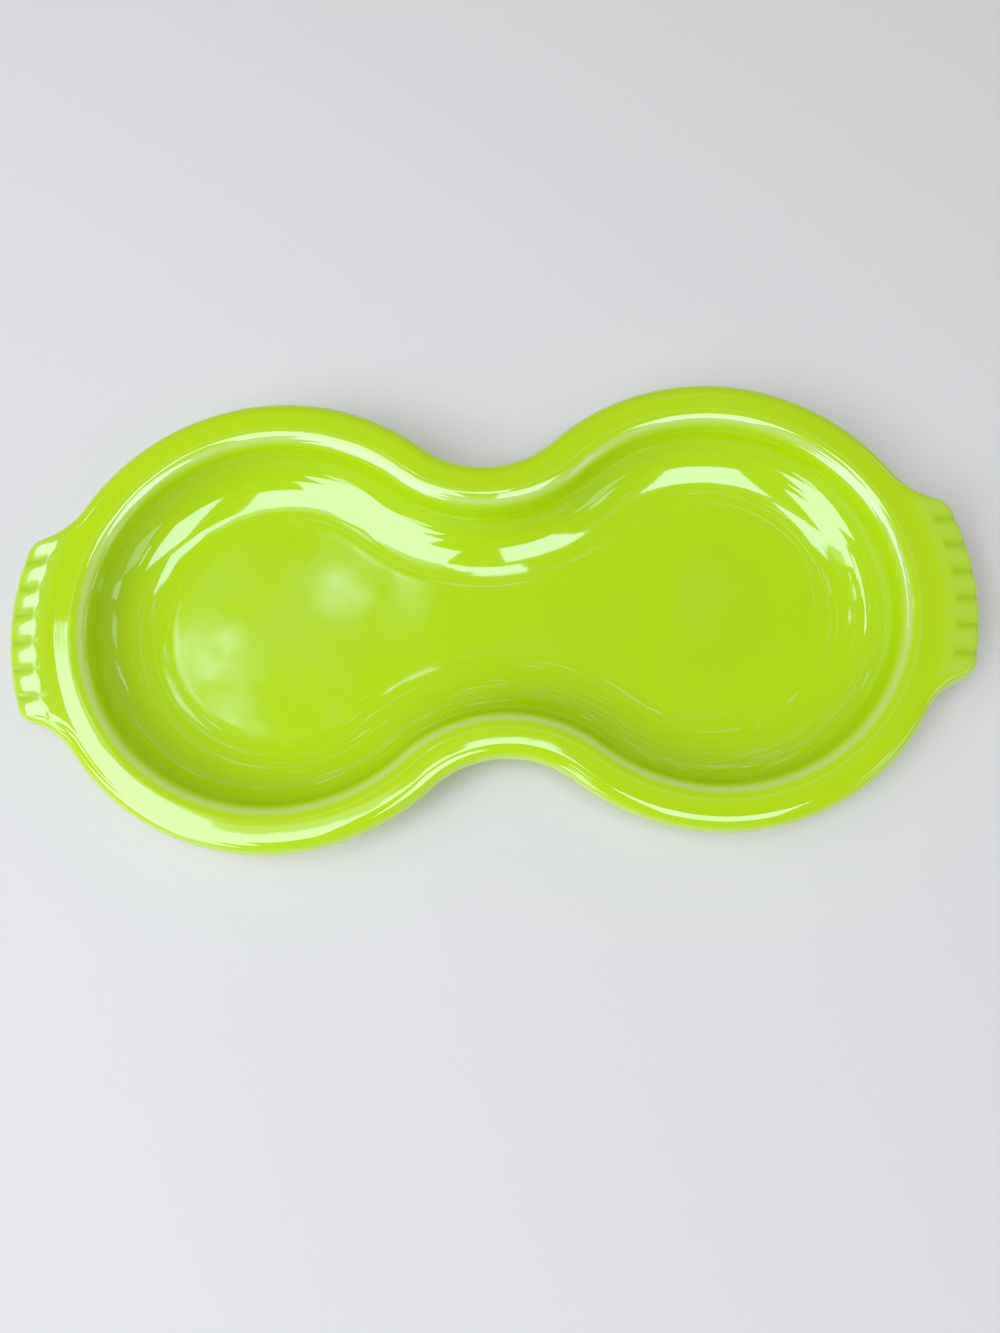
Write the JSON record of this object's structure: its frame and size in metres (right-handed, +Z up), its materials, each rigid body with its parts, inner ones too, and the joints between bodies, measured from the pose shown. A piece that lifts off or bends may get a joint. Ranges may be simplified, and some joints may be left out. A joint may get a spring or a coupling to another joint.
{
  "type": "sugar and creamer tray",
  "caption": "Figure-eight glazed ceramic tray with a wide rim, a coved well, round seats for a sugar bowl and a creamer, and ribbed lug handles.",
  "frame": {"origin": "on the table, under the middle of the foot ring", "axes": "+X along the tray, towards the right handle; +Y across it; +Z up"},
  "size_m": [0.2636, 0.127, 0.019],
  "materials": {
    "lime_glaze": "gloss",
    "bare_clay": "matte"
  },
  "bodies": {
    "root": {"foot_ring": "bare_clay", "well_floor": "lime_glaze", "well_wall": "lime_glaze", "rim": "lime_glaze", "right_handle": "lime_glaze", "left_handle": "lime_glaze"}
  },
  "joints": []
}
